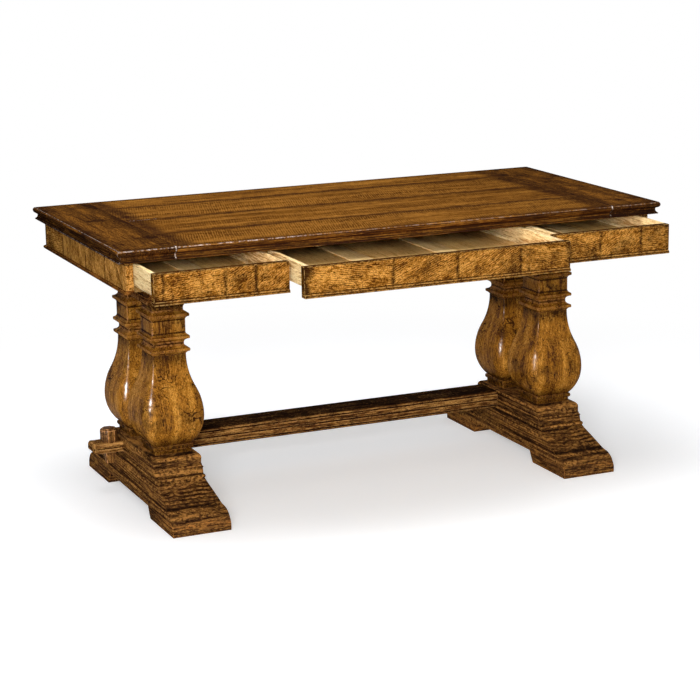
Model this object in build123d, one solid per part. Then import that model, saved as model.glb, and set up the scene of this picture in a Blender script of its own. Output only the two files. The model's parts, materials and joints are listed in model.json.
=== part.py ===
from build123d import *
import math
import os

# Refectory desk: a moulded plank top and a frieze with three drawers, on two trestles of square
# vase balusters and stepped sled feet, tied by one low stretcher with tusk-pegged tenons.
# X runs along the desk, the drawers open towards -Y and Z is up.
# The desk stands as it is shown, with its three drawers pulled out.

# Overall sizes
desk_length = 1600
desk_width = 775
desk_height = 780

# Fits: running gap of a drawer, gap of a glued joint, free depth below a tenon, overrun of a cut
slide_gap = 0.3
joint_gap = 0.15
tenon_end_gap = 1
cut_over = 5

# Top: four planks between two breadboard ends, with one moulding round the outer edge
top_thick = 34
end_overhang = 27.5
side_overhang = 23.5
breadboard_width = 159
plank_joint_shares = (-1, -0.49, 0.08, 0.62, 1)
end_tongue_thick = 12
end_tongue_length = 20
edge_bead_height = 15.5
edge_bead_rise = 4.5
edge_quirk_depth = 5
edge_quirk_drop = 1.5
edge_cove_hollow = 3.2
edge_lip_height = 3
edge_lip_inset = 4.5

# Frieze: aprons at both ends and the back, with a bead along their lower edge
frieze_height = 83
apron_thick = 21
frieze_bead_height = 10
frieze_bead_flat = 8
frieze_bead_reach = 4.5
frieze_bead_swell = 1.5

# Frame inside the frieze that carries and guides the drawers
runner_height = 20.7
rail_width = 50
top_rail_width = 40
outer_runner_width = 40
inner_runner_width = 76
outer_kicker_width = 30
partition_thick = 16
tie_rail_width = 90
kicker_gap = 0.7

# Drawers: sizes of the fronts and boxes, and how far each one is pulled out
side_front_width = 364.5
front_gap = 1.5
front_end_gap = 2.5
front_thick = 20
front_drop = 4
front_head_gap = 6
front_lip_reach = 4
front_lip_height = 4
front_step_reach = 2
front_step_height = 3
front_step_swell = 0.5
front_cove_height = 5
front_cove_hollow = 1
drawer_length = 560
side_play = 2
side_thick = 12
side_tongue_thick = 6
side_tongue_length = 8
back_thick = 12
back_drop = 7
pin_root_share = 0.2
pin_tip_share = 0.13
pin_place_shares = (0.18, 0.5, 0.82)
panel_thick = 6
panel_lift = 6
panel_groove_depth = 5
muntin_width = 60
muntin_under = 2.5
muntin_rise = 3.5
slip_radius = 7
side_pull = 148
centre_pull = 240

# Trestles: place of the balusters and the cross beam on them
trestle_inset = 210
column_place = 105
bearer_height = 66
bearer_width = 124
bearer_foot_width = 138
bearer_foot_height = 10
bearer_ogee_length = 144
bearer_end_inset = 34
bearer_end_height = 23
bearer_ogee_hollow = 9
bearer_cove_height = 10

# Baluster: plinth, vase, ringed neck, square block and cap
plinth_width = 104
plinth_bead_width = 110
plinth_height = 12
plinth_bead_height = 12
plinth_bead_swell = 2
vase_core_width = 80
vase_foot_width = 106.4
vase_belly_width = 179
vase_neck_width = 94.2
vase_belly_share = 0.32
vase_turn_share = 0.46
vase_corner_facets = 3
neck_width = 88
ring_width = 114
ring_edge = 4.5
ring_flare = 10.5
ring_hollow = 2
neck_height = 9
collar_height = 5
block_width = 96
block_height = 36
cap_width = 134
cap_height = 13
cap_neck_width = 124
cap_flare = 18
cap_hollow = 5
tenon_width = 40
head_tenon_length = 40

# Sled foot with its pads: levels as shares of its height, half length and half width,
# and the swell (minus) or hollow (plus) of the run up to each level, as a share of its height
foot_end_inset = 16.5
foot_width = 164
foot_height = 166
foot_level_shares = (
    (0, 1, 1, 0, 0),
    (0.108, 1, 1, 0, 0),
    (0.325, 0.871, 0.994, -0.055, 0),
    (0.349, 0.838, 0.963, 0, 0),
    (0.584, 0.596, 0.854, -0.006, 0),
    (0.627, 0.57, 0.829, 0, 0),
    (0.681, 0.56, 0.841, -0.014, -0.014),
    (0.684, 0.544, 0.834, 0, 0),
    (0.771, 0.528, 0.841, 0, 0),
    (0.801, 0.522, 0.835, -0.012, -0.012),
    (0.831, 0.515, 0.829, 0, 0),
    (0.837, 0.509, 0.823, 0, 0),
    (0.904, 0.504, 0.835, 0, 0),
    (1, 0.445, 0.732, -0.028, -0.028),
)
pad_height = 33
pad_length = 186.5
pad_slope = 20

# Stretcher with a through tenon at each end, and the pegs that hold the tenons
stretcher_width = 106
stretcher_height = 51
stretcher_drop = 6
stretcher_round = 8
stretcher_reeds = 3
stretcher_reed_cut = 2.6
through_tenon_width = 60
through_tenon_height = 26
through_tenon_inset = 55
through_tenon_chamfer = 6
peg_width = 47
peg_sides = 8
peg_stand_off = 4.8
peg_head_height = 39
peg_chamfer = 5
peg_shaft_width = 30
peg_tip_width = 22
peg_tip_drop = 36

# Loose tenons between the cross beams and the frame above
slip_tenon_width = 46
slip_tenon_thick = 14
slip_tenon_depth = 28
slip_tenon_inset = 100

# Levels and places that follow from the sizes
half_length = desk_length / 2
half_width = desk_width / 2
top_under = desk_height - top_thick
frieze_x = half_length - end_overhang
frieze_y = half_width - side_overhang
frieze_under = top_under - frieze_height
apron_x = frieze_x - apron_thick
apron_y = frieze_y - apron_thick
runner_top = frieze_under + runner_height
side_under = runner_top + slide_gap
front_under = frieze_under - front_drop
front_top = top_under - front_head_gap
kicker_under = front_top + kicker_gap
rail_front = front_thick + slide_gap - frieze_y
rail_back = rail_front + rail_width
centre_front_width = 2 * (apron_x - front_end_gap - side_front_width - front_gap)
partition_place = centre_front_width / 2 + front_gap / 2
trestle_place = half_length - trestle_inset
bearer_under = frieze_under - bearer_height
bearer_length = 2 * (frieze_y - bearer_end_inset)
bearer_foot_length = bearer_length - 2 * bearer_ogee_length
slip_tenon_place = bearer_length / 2 - slip_tenon_inset
column_foot = foot_height
foot_length = desk_width - 2 * foot_end_inset
foot_half = foot_length / 2
through_tenon_end = half_length - through_tenon_inset
stretcher_under = foot_height - stretcher_drop - stretcher_height
tenon_level = stretcher_under + stretcher_height / 2
foot_tenon_length = stretcher_drop + (stretcher_height - through_tenon_height) / 2 - 2 * tenon_end_gap
block_face = max(
    width_share * foot_width / 2 - side_bulge_share * foot_height
    for rise_share, length_share, width_share, end_bulge_share, side_bulge_share in foot_level_shares
    if rise_share * foot_height > stretcher_under - stretcher_round
)
shoulder_x = trestle_place - block_face - joint_gap
back_shift = (centre_pull + front_lip_reach + frieze_y - half_width) / 2

corner = (Align.MIN, Align.MIN, Align.MIN)
middle_foot = (Align.CENTER, Align.CENTER, Align.MIN)


def board(x0, x1, y0, y1, z0, z1):
    """A plain board between two opposite corners."""
    return Pos(x0, y0, z0) * Box(x1 - x0, y1 - y0, z1 - z0, align=corner)


def square_bar(width, height, x, y, z):
    """An upright bar of square section, from its foot at z."""
    return Pos(x, y, z) * Box(width, width, height, align=middle_foot)


def outline(points, bulges):
    """A closed face; run i goes from point i to the next one and bulges to its left."""
    runs = []
    for index, bulge in enumerate(bulges):
        start = points[index]
        end = points[(index + 1) % len(points)]
        runs.append(SagittaArc(start, end, bulge) if bulge else Line(start, end))
    return make_face(runs)


def mirrored_outline(profile):
    """A face symmetric about the upright axis, from (half width, height, bulge) going up."""
    right = [(half, level) for half, level, bulge in profile]
    left = [(-half, level) for half, level in reversed(right)]
    bulges = [bulge for half, level, bulge in profile[1:]]
    return outline(right + left, bulges + [0] + bulges[::-1] + [0])


def mitred_block(profile_x, profile_y):
    """A block whose ends follow profile_x and whose front and back follow profile_y."""
    reach_x = max(half for half, level, bulge in profile_x) + cut_over
    reach_y = max(half for half, level, bulge in profile_y) + cut_over
    along_y = extrude(Plane.XZ * mirrored_outline(profile_x), reach_y, both=True)
    along_x = extrude(Plane.YZ * mirrored_outline(profile_y), reach_x, both=True)
    return along_y & along_x


def cross_prism(face, x0, x1):
    """A face drawn as (y, z) and pushed from x0 to x1."""
    return Pos(x0, 0, 0) * extrude(Plane.YZ * face, x1 - x0)


def plan_prism(points, z0, z1):
    """A prism on a plan of (x, y) points."""
    return Pos(0, 0, z0) * extrude(make_face(Polyline(*points, close=True)), z1 - z0)


def save(name, shape):
    """Write one node, moved so that the origin lies below the middle of the whole desk."""
    solids = shape.solids()
    moved = [Pos(0, back_shift, 0) * solid for solid in solids]
    node = moved[0] if len(moved) == 1 else Compound(children=moved)
    export_step(node, f"parts/{name}.step")


# Top
def edge_profile(half):
    """The moulded edge of the top, going up: lip, cove, quirk and bead."""
    cove_top = desk_height - edge_bead_height - edge_quirk_drop
    cove_inset = edge_bead_rise + edge_quirk_depth
    return [
        (half - edge_lip_inset, top_under, 0),
        (half - edge_lip_inset, top_under + edge_lip_height, 0),
        (half - cove_inset, cove_top, edge_cove_hollow),
        (half - edge_bead_rise, desk_height - edge_bead_height, 0),
        (half - edge_bead_rise, desk_height, -edge_bead_rise),
    ]


def build_top():
    """Planks with an end tongue in the groove of each breadboard."""
    slab = mitred_block(edge_profile(half_length), edge_profile(half_width))
    seam = half_length - breadboard_width
    tongue_under = top_under + (top_thick - end_tongue_thick) / 2
    tongue_end = seam + end_tongue_length
    joints = [share * half_width for share in plank_joint_shares]
    tongue_half = half_width - breadboard_width / 2
    for number, (near, far) in enumerate(zip(joints, joints[1:]), start=1):
        plank = slab & board(-seam, seam, near, far, top_under, desk_height)
        tongue = board(
            -tongue_end,
            tongue_end,
            max(near, -tongue_half),
            min(far, tongue_half),
            tongue_under,
            tongue_under + end_tongue_thick,
        )
        save(f"top_plank_{number}", plank + tongue)
    groove = board(
        -tongue_end - tenon_end_gap,
        tongue_end + tenon_end_gap,
        -tongue_half - joint_gap,
        tongue_half + joint_gap,
        tongue_under - joint_gap,
        tongue_under + end_tongue_thick + joint_gap,
    )
    outer = slab - groove
    for name, x0, x1 in (("left", -half_length, -seam), ("right", seam, half_length)):
        end = board(x0, x1, -half_width, half_width, top_under, desk_height)
        save(f"breadboard_{name}", outer & end)


# Frieze
def build_aprons():
    """End and back aprons, each with its bead; the end beads return across the front."""
    save("end_apron_left", board(-frieze_x, -apron_x, -frieze_y, frieze_y, frieze_under, top_under))
    save("end_apron_right", board(apron_x, frieze_x, -frieze_y, frieze_y, frieze_under, top_under))
    save("back_apron", board(-apron_x, apron_x, apron_y, frieze_y, frieze_under, top_under))
    reach = frieze_bead_reach + frieze_bead_swell
    bead_top = frieze_under + frieze_bead_height

    def bead_profile(half):
        return [
            (half + frieze_bead_reach, frieze_under, 0),
            (half + frieze_bead_reach, frieze_under + frieze_bead_flat, -frieze_bead_swell),
            (half, bead_top, 0),
        ]

    ring = mitred_block(bead_profile(frieze_x), bead_profile(frieze_y))
    ring -= board(-frieze_x, frieze_x, -frieze_y, frieze_y, frieze_under - cut_over, bead_top + cut_over)
    for name, side in (("left", -1), ("right", 1)):
        plan = [
            (side * apron_x, -frieze_y - reach),
            (side * (frieze_x + reach), -frieze_y - reach),
            (side * (frieze_x + reach), frieze_y + reach),
            (side * apron_x, apron_y),
        ]
        save(f"end_bead_{name}", ring & plan_prism(plan, frieze_under, bead_top))
    plan = [
        (-frieze_x - reach, frieze_y + reach),
        (frieze_x + reach, frieze_y + reach),
        (apron_x, apron_y),
        (-apron_x, apron_y),
    ]
    save("back_bead", ring & plan_prism(plan, frieze_under, bead_top))


def build_drawer_frame():
    """Rails, partitions, runners and kickers that hold the drawers."""
    save("front_rail", board(-apron_x, apron_x, rail_front, rail_back, frieze_under, runner_top))
    top_rail_back = rail_front + top_rail_width
    save("top_rail", board(-apron_x, apron_x, rail_front, top_rail_back, kicker_under, top_under))
    outer_runner = apron_x - outer_runner_width
    outer_kicker = apron_x - outer_kicker_width
    kickers = []
    for name, side in (("left", -1), ("right", 1)):
        place = side * partition_place
        inner = (place - inner_runner_width / 2, place + inner_runner_width / 2)
        save(f"inner_runner_{name}", board(*inner, rail_back, apron_y, frieze_under, runner_top))
        wall = (place - partition_thick / 2, place + partition_thick / 2)
        save(f"partition_{name}", board(*wall, rail_front, apron_y, runner_top, kicker_under))
        kickers.append(board(*inner, top_rail_back, apron_y, kicker_under, top_under))
        outer = sorted((side * outer_runner, side * apron_x))
        save(f"outer_runner_{name}", board(*outer, rail_back, apron_y, frieze_under, runner_top))
        outer = sorted((side * outer_kicker, side * apron_x))
        kickers.append(board(*outer, top_rail_back, apron_y, kicker_under, top_under))
        tie = (side * trestle_place - tie_rail_width / 2, side * trestle_place + tie_rail_width / 2)
        rail = board(*tie, rail_back, apron_y, frieze_under, runner_top)
        for mortise in slip_tenons(side, joint_gap):
            rail -= mortise
        save(f"tie_rail_{name}", rail)
    save("kickers", Compound(children=kickers))


def slip_tenons(side, gap):
    """The loose tenons of one trestle, or their mortises when a gap is given."""
    tenons = []
    for y in (-slip_tenon_place, slip_tenon_place):
        tenons.append(board(
            side * trestle_place - slip_tenon_thick / 2 - gap,
            side * trestle_place + slip_tenon_thick / 2 + gap,
            y - slip_tenon_width / 2 - gap,
            y + slip_tenon_width / 2 + gap,
            frieze_under - slip_tenon_depth - gap,
            runner_top,
        ))
    return tenons


# Drawers
def front_outline(front_y):
    """Section of a drawer front as (y, z), with the stepped lip along its lower edge."""
    step = front_under + front_lip_height
    cove = step + front_step_height
    points = [
        (front_y + front_thick, front_under),
        (front_y + front_thick, front_top),
        (front_y, front_top),
        (front_y, cove + front_cove_height),
        (front_y - front_step_reach, cove),
        (front_y - front_lip_reach, step),
        (front_y - front_lip_reach, front_under),
    ]
    return outline(points, [0, 0, 0, front_cove_hollow, -front_step_swell, 0, 0])


def build_drawer(name, front_left, front_right, box_left, box_right, pull, muntin_places):
    """One drawer, pulled out by the given distance; box_left and box_right are the outer faces."""
    front_y = -frieze_y - pull
    front_back = front_y + front_thick
    rear = front_y + drawer_length
    back_front = rear - back_thick
    panel_under = side_under + panel_lift
    panel_top = panel_under + panel_thick
    panel_front = front_back - panel_groove_depth
    panel_left = box_left + side_thick - panel_groove_depth
    panel_right = box_right - side_thick + panel_groove_depth

    def panel_groove(x0, x1):
        """The groove for the bottom panels between two places, open at the rear."""
        return board(
            x0 - joint_gap,
            x1 + joint_gap,
            panel_front - joint_gap,
            rear + cut_over,
            panel_under - joint_gap,
            panel_top + joint_gap,
        )

    def side_tongue(x_outer, x_inner, gap):
        """The tongue of a side, on the inner half of its thickness, in the drawer front."""
        outwards = math.copysign(side_tongue_thick, x_outer - x_inner)
        x0, x1 = sorted((x_inner, x_inner + outwards))
        return board(
            x0 - gap,
            x1 + gap,
            front_back - side_tongue_length - gap,
            front_back,
            side_under - gap,
            front_top - slip_radius + gap,
        )

    walls = ((box_left, box_left + side_thick), (box_right, box_right - side_thick))
    panel_slot = panel_groove(panel_left, panel_right)
    front = cross_prism(front_outline(front_y), front_left, front_right) - panel_slot
    for x_outer, x_inner in walls:
        front -= side_tongue(x_outer, x_inner, joint_gap)
    save(f"{name}_front", front)

    # The back stands on the bottom panels and its dovetail pins pass through both sides
    back_under = panel_top + joint_gap
    back_top = front_top - back_drop
    back_height = back_top - back_under
    back = board(walls[0][1], walls[1][1], back_front, rear, back_under, back_top)
    pins = []
    for share in pin_place_shares:
        middle = back_under + share * back_height
        root = pin_root_share * back_height / 2
        tip = pin_tip_share * back_height / 2
        points = [
            (back_front, middle - root),
            (rear, middle - tip),
            (rear, middle + tip),
            (back_front, middle + root),
        ]
        pins.append(cross_prism(outline(points, [0] * len(points)), box_left, box_right))
    for pin in pins:
        back += pin
    save(f"{name}_back", back)
    for wall_name, (x_outer, x_inner) in zip(("left", "right"), walls):
        x0, x1 = sorted((x_outer, x_inner))
        side = board(x0, x1, front_back, rear, side_under, front_top)
        side += side_tongue(x_outer, x_inner, 0)
        side -= panel_slot
        for pin in pins:
            side -= pin
        save(f"{name}_side_{wall_name}", side)

    # Bottom panels on both sides of each muntin, which is grooved to take them
    edges = [panel_left]
    muntins = []
    for place in muntin_places:
        x0 = place - muntin_width / 2
        x1 = place + muntin_width / 2
        foot = panel_under - muntin_under
        muntin = board(x0, x1, front_back, back_front, foot, panel_top + muntin_rise)
        muntin += board(x0, x1, panel_front, rear, panel_under, panel_top)
        muntin -= panel_groove(x0 - cut_over, x0 + panel_groove_depth)
        muntin -= panel_groove(x1 - panel_groove_depth, x1 + cut_over)
        muntins.append(muntin)
        edges += [x0 + panel_groove_depth, x1 - panel_groove_depth]
    edges.append(panel_right)
    panels = [
        board(x0, x1, panel_front, rear, panel_under, panel_top)
        for x0, x1 in zip(edges[::2], edges[1::2])
    ]
    save(f"{name}_bottom", Compound(children=panels))
    save(f"{name}_muntins", Compound(children=muntins))

    # Quarter-round slips in the corners between the bottom and the sides
    slips = []
    for x_inner, turn in ((walls[0][1], 1), (walls[1][1], -1)):
        points = [
            (x_inner, panel_top),
            (x_inner + turn * slip_radius, panel_top),
            (x_inner, panel_top + slip_radius),
        ]
        hollow = turn * slip_radius * (1 - 0.5 ** 0.5)
        face = outline(points, [0, -hollow, 0])
        slips.append(Pos(0, back_front, 0) * extrude(Plane.XZ * face, back_front - front_back))
    save(f"{name}_slips", Compound(children=slips))


def build_drawers():
    """Two narrow drawers beside a wide one."""
    inner_front = partition_place + front_gap / 2
    outer_front = apron_x - front_end_gap
    inner_box = partition_place + partition_thick / 2 + side_play
    centre_half = centre_front_width / 2
    centre_box = partition_place - partition_thick / 2 - side_play
    middle = (inner_box + outer_front) / 2
    third = centre_box / 3
    left = (-outer_front, -inner_front, -outer_front, -inner_box)
    right = (inner_front, outer_front, inner_box, outer_front)
    centre = (-centre_half, centre_half, -centre_box, centre_box)
    build_drawer("drawer_left", *left, side_pull, [-middle])
    build_drawer("drawer_right", *right, side_pull, [middle])
    build_drawer("drawer_centre", *centre, centre_pull, [-third, third])


# Trestles
def column_profile():
    """Half widths of a baluster above its vase, going up, with the hollows between them."""
    neck = neck_width / 2
    ring = ring_width / 2
    block = block_width / 2
    steps = [
        (vase_neck_width / 2, 0, 0),
        (ring, ring_flare, ring_hollow),
        (ring, ring_edge, 0),
        (neck, ring_flare, ring_hollow),
        (neck, neck_height, 0),
        (ring, ring_flare, ring_hollow),
        (ring, ring_edge, 0),
        (block, ring_flare, ring_hollow),
        (block, block_height, 0),
        (ring, ring_flare, ring_hollow),
        (ring, ring_edge, 0),
        (neck, ring_flare, ring_hollow),
        (neck, collar_height, 0),
        (cap_neck_width / 2, cap_flare, cap_hollow),
        (cap_width / 2, cap_height / 2, 0),
        (cap_width / 2, cap_height / 2, 0),
    ]
    level = bearer_under - sum(rise for half, rise, bulge in steps)
    profile = []
    for half, rise, bulge in steps:
        level += rise
        profile.append((half, level, bulge))
    return profile


def upright_bulge(start, end):
    """Height of the arc that joins two (half width, level) points and is upright at one of them."""
    width = abs(end[0] - start[0])
    rise = end[1] - start[1]
    return math.hypot(width, rise) / 2 * math.tan(math.atan2(width, rise) / 2)


def vase(foot, top):
    """A square vase with round corners, cut facet by facet, all on one profile about a square core."""
    core = vase_core_width / 2
    belly = (vase_belly_width / 2, foot + vase_belly_share * (top - foot))
    neck = (vase_neck_width / 2, top)
    turn = (
        belly[0] + vase_turn_share * (neck[0] - belly[0]),
        belly[1] + vase_turn_share * (neck[1] - belly[1]),
    )
    base = (vase_foot_width / 2, foot)
    profile = [
        (*base, 0),
        (*belly, -upright_bulge(base, belly)),
        (*turn, -upright_bulge(belly, turn)),
        (*neck, upright_bulge(turn, neck)),
    ]
    body = mitred_block(profile, profile)
    for facet in range(1, vase_corner_facets + 1):
        angle = 90 * facet / (vase_corner_facets + 1)
        spread = core * (math.cos(math.radians(angle)) + math.sin(math.radians(angle)) - 1)
        turned = [(half + spread, level, bulge) for half, level, bulge in profile]
        body &= Rot(0, 0, angle) * mitred_block(turned, turned)
    return body


def build_column(name, x, y):
    """A baluster of square plan with its plinth and a tenon at each end."""
    plinth = plinth_width / 2
    bead = plinth_bead_width / 2
    plinth_top = column_foot + plinth_height
    vase_foot = plinth_top + plinth_bead_height
    base = [
        (plinth, column_foot, 0),
        (plinth, plinth_top, 0),
        (bead - plinth_bead_swell, plinth_top, 0),
        (bead - plinth_bead_swell, vase_foot, -plinth_bead_swell),
    ]
    neck = column_profile()
    vase_top = neck[0][1]
    column = mitred_block(base, base) + vase(vase_foot, vase_top) + mitred_block(neck, neck)
    column += square_bar(tenon_width, foot_tenon_length, 0, 0, column_foot - foot_tenon_length)
    column += square_bar(tenon_width, head_tenon_length, 0, 0, bearer_under)
    save(name, Pos(x, y, 0) * column)


def column_mortises(x, level, length):
    """Holes for the tenons of both balusters of a trestle, from the given level up."""
    width = tenon_width + 2 * joint_gap
    return [square_bar(width, length, x, y, level) for y in (-column_place, column_place)]


def build_bearer(name, side):
    """The cross beam on the balusters, with ogee ends that widen up to the frieze."""
    foot_top = bearer_under + bearer_foot_height
    end_under = frieze_under - bearer_end_height
    profile_x = [
        (bearer_foot_width / 2, bearer_under, 0),
        (bearer_foot_width / 2, foot_top, 0),
        (bearer_width / 2, foot_top + bearer_cove_height, 0),
        (bearer_width / 2, frieze_under, 0),
    ]
    foot_end = bearer_foot_length / 2
    middle_end = (foot_end + bearer_length / 2) / 2
    profile_y = [
        (foot_end, bearer_under, 0),
        (foot_end, foot_top, 0),
        (middle_end, (foot_top + end_under) / 2, bearer_ogee_hollow),
        (bearer_length / 2, end_under, -bearer_ogee_hollow),
        (bearer_length / 2, frieze_under, 0),
    ]
    bearer = Pos(side * trestle_place, 0, 0) * mitred_block(profile_x, profile_y)
    for hole in column_mortises(side * trestle_place, bearer_under, head_tenon_length + tenon_end_gap):
        bearer -= hole
    for mortise in slip_tenons(side, joint_gap):
        bearer -= mortise
    save(name, bearer)


def build_foot(name, side):
    """A stepped and reeded sled foot, with two pads below that leave an arch between them."""
    profile_x = []
    profile_y = []
    for rise_share, length_share, width_share, end_bulge_share, side_bulge_share in foot_level_shares:
        level = rise_share * foot_height
        profile_x.append((width_share * foot_width / 2, level, side_bulge_share * foot_height))
        profile_y.append((length_share * foot_half, level, end_bulge_share * foot_height))
    x = side * trestle_place
    whole = Pos(x, 0, 0) * mitred_block(profile_x, profile_y)
    for hole in column_mortises(x, foot_height - foot_tenon_length - tenon_end_gap, foot_height):
        whole -= hole
    whole -= board(
        x - foot_width,
        x + foot_width,
        column_place - through_tenon_width / 2 - joint_gap,
        column_place + through_tenon_width / 2 + joint_gap,
        tenon_level - through_tenon_height / 2 - joint_gap,
        tenon_level + through_tenon_height / 2 + joint_gap,
    )
    ends = (x - foot_width, x + foot_width)
    save(name, whole & board(*ends, -foot_half, foot_half, pad_height, foot_height))
    pad_end = foot_half - pad_length
    for place, turn in (("front", -1), ("back", 1)):
        points = [
            (turn * foot_half, 0),
            (turn * foot_half, pad_height),
            (turn * (pad_end - pad_slope), pad_height),
            (turn * pad_end, 0),
        ]
        pad = whole & cross_prism(outline(points, [0] * len(points)), *ends)
        save(f"{name}_pad_{place}", pad)


def build_stretcher():
    """The low rail in line with the rear balusters, its through tenons and their pegs."""
    foot_line = tenon_level - through_tenon_height / 2
    head_line = tenon_level + through_tenon_height / 2
    half = stretcher_width / 2
    section = Pos(column_place, tenon_level) * RectangleRounded(
        stretcher_width, stretcher_height, stretcher_round
    )
    rail = cross_prism(section, -shoulder_x, shoulder_x)
    pitch = (stretcher_height - 2 * stretcher_round) / (stretcher_reeds - 1)
    for number in range(stretcher_reeds):
        level = stretcher_under + stretcher_round + number * pitch
        for y in (column_place - half, column_place + half):
            groove = Cylinder(stretcher_reed_cut, 2 * shoulder_x + cut_over, rotation=(0, 90, 0))
            rail -= Pos(0, y, level) * groove
    tenon = board(
        -through_tenon_end,
        through_tenon_end,
        column_place - through_tenon_width / 2,
        column_place + through_tenon_width / 2,
        foot_line,
        head_line,
    )
    tenon = chamfer(tenon.faces().filter_by(Axis.X).edges(), through_tenon_chamfer)
    rail += tenon
    pegs = []
    neck = peg_shaft_width - 2 * joint_gap
    octagon = RegularPolygon(
        peg_width / 2, peg_sides, major_radius=False, rotation=180 / peg_sides
    )
    for side in (-1, 1):
        place = side * (trestle_place + block_face + peg_stand_off + peg_width / 2)
        rail -= square_bar(
            peg_shaft_width, through_tenon_height + cut_over, place, column_place, foot_line
        )
        head = extrude(octagon, peg_head_height)
        head = chamfer(head.faces().sort_by(Axis.Z)[-1].edges(), peg_chamfer)
        shaft = square_bar(neck, through_tenon_height, 0, 0, -through_tenon_height)
        tip = loft([
            Pos(0, 0, -through_tenon_height) * Rectangle(neck, neck),
            Pos(0, 0, -through_tenon_height - peg_tip_drop) * Rectangle(peg_tip_width, peg_tip_width),
        ])
        pegs.append(Pos(place, column_place, head_line) * (head + shaft + tip))
    save("stretcher", rail)
    save("tusk_pegs", Compound(children=pegs))


def build_trestles():
    """Both trestles and what ties them."""
    tenons = []
    for name, side in (("left", -1), ("right", 1)):
        build_foot(f"foot_{name}", side)
        build_bearer(f"bearer_{name}", side)
        build_column(f"column_front_{name}", side * trestle_place, -column_place)
        build_column(f"column_back_{name}", side * trestle_place, column_place)
        tenons += slip_tenons(side, 0)
    save("bearer_tenons", Compound(children=tenons))
    build_stretcher()


os.makedirs("parts", exist_ok=True)
build_top()
build_aprons()
build_drawer_frame()
build_drawers()
build_trestles()
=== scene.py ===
"""Dresses the refectory desk: rubbed oak pieces, square balusters and their old polish."""
import json
import math

import bpy
from mathutils import Matrix, Vector

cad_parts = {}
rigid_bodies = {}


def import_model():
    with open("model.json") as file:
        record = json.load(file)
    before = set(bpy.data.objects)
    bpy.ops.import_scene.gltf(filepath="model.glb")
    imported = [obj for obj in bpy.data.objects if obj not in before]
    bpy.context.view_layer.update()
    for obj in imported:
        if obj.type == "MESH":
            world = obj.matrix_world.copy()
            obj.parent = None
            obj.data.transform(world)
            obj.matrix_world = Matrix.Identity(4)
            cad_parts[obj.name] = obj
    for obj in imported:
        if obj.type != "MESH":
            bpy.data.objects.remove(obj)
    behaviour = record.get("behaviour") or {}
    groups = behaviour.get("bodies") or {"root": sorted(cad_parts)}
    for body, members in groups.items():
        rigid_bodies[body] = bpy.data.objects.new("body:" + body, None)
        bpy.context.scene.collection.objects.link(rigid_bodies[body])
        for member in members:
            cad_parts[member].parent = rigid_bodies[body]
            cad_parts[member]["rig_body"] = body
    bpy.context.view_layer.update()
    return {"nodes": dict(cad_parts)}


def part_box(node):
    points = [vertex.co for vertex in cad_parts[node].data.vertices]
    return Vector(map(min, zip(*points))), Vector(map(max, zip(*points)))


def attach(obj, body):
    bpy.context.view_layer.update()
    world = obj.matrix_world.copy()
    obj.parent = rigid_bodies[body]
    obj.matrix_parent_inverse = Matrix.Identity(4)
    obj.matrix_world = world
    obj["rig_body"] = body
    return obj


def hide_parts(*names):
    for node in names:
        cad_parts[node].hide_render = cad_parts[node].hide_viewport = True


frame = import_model()

# Places in metres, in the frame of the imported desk
DESK_MIDDLE_Y = 0.11025
DESK_HALF_LENGTH = 0.8
DESK_HALF_WIDTH = 0.3875
FRONT_EDGE_Y = DESK_MIDDLE_Y - DESK_HALF_WIDTH
BACK_EDGE_Y = DESK_MIDDLE_Y + DESK_HALF_WIDTH

# The top: seams of the breadboards and planks, a pale split beside the second joint, and the
# levels above which its face lies and below which its moulded edge does
SEAM_X = 0.641
NOTCH_ASIDE = 0.0014
PLANK_JOINTS = (-0.0796, 0.1413, 0.3505)
SPLIT_X = -0.591
SPLIT_ASIDE = 0.0012
FACE_LEVEL = 0.7785
EDGE_LEVEL = 0.7765

# The balusters: places, levels, half widths of the vase, and where along it the belly sits and
# the curve turns
COLUMN_X = 0.59
COLUMN_Y = 0.105
FOOT_TOP = 0.166
VASE_FOOT = 0.190
VASE_TOP = 0.4395
BASE_HALF, BELLY_HALF, NECK_HALF = 0.0532, 0.0895, 0.0471
BELLY_SHARE, TURN_SHARE = 0.32, 0.46
BASE_STEPS, SIDE_STEPS, COVE_STEPS, BEAD_STEPS, CORNER_STEPS = 12, 14, 5, 6, 10
SPIN = math.radians(-90)
NECK_ROUND, ROUND_SHARE = 0.0015, 0.85

# Levels of the grooves, beads and ridges that the finishes follow
TOP_GROOVES = (0.7637, 0.7495)
FRONT_GROOVES = (0.6640, 0.6705, 0.7395)
FRONT_CRESTS = (0.6612, 0.6673)
FRONT_LIP = (0.6700, 0.6712)
APRON_GROOVES = (0.7392,)
RING_FOOT = 0.4405
BALUSTER_RECESSES = (0.1785, 0.1905, RING_FOOT, 0.4995, 0.5355)
RING_NECK = (0.4695,)
CAP_NECK = (0.5635,)
FOOT_GROOVES = (0.1045, 0.1138, 0.1285, 0.1385, 0.1505)
FOOT_STEPS = (0.0590, 0.1005)
FOOT_BEADS = (0.109, 0.1575)
FOOT_LIPS = (0.1335, 0.054)
SLOPE_SPAN = (0.0610, 0.0975)
SLOPE_GROOVES = (0.0655, 0.0717, 0.0779, 0.0841, 0.0903)
SLOPE_RIDGES = (0.0686, 0.0748, 0.0810, 0.0872, 0.0934)
STRETCHER_REEDS = (0.117, 0.1345, 0.152)

# Spans of height over which the finishes darken: dark wax and painted shade on the baluster,
# painted shade alone on its cap under the frieze, and a plain darkening on the toe and on the
# stretcher's top
PLINTH_SPAN = (0.178, 0.192)
VASE_FOOT_SPAN = (0.192, 0.225)
VASE_NECK_SPAN = (0.395, 0.438)
RINGS_SPAN = (0.438, 0.444)
# Painted shade: the cap of each baluster lies in the shadow under the frieze
CAP_SHADE_SPAN = (0.552, 0.576)
TOE_SPAN = (0.052, 0.056)
STRETCHER_TOP_SPAN = (0.1575, 0.1595)

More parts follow.
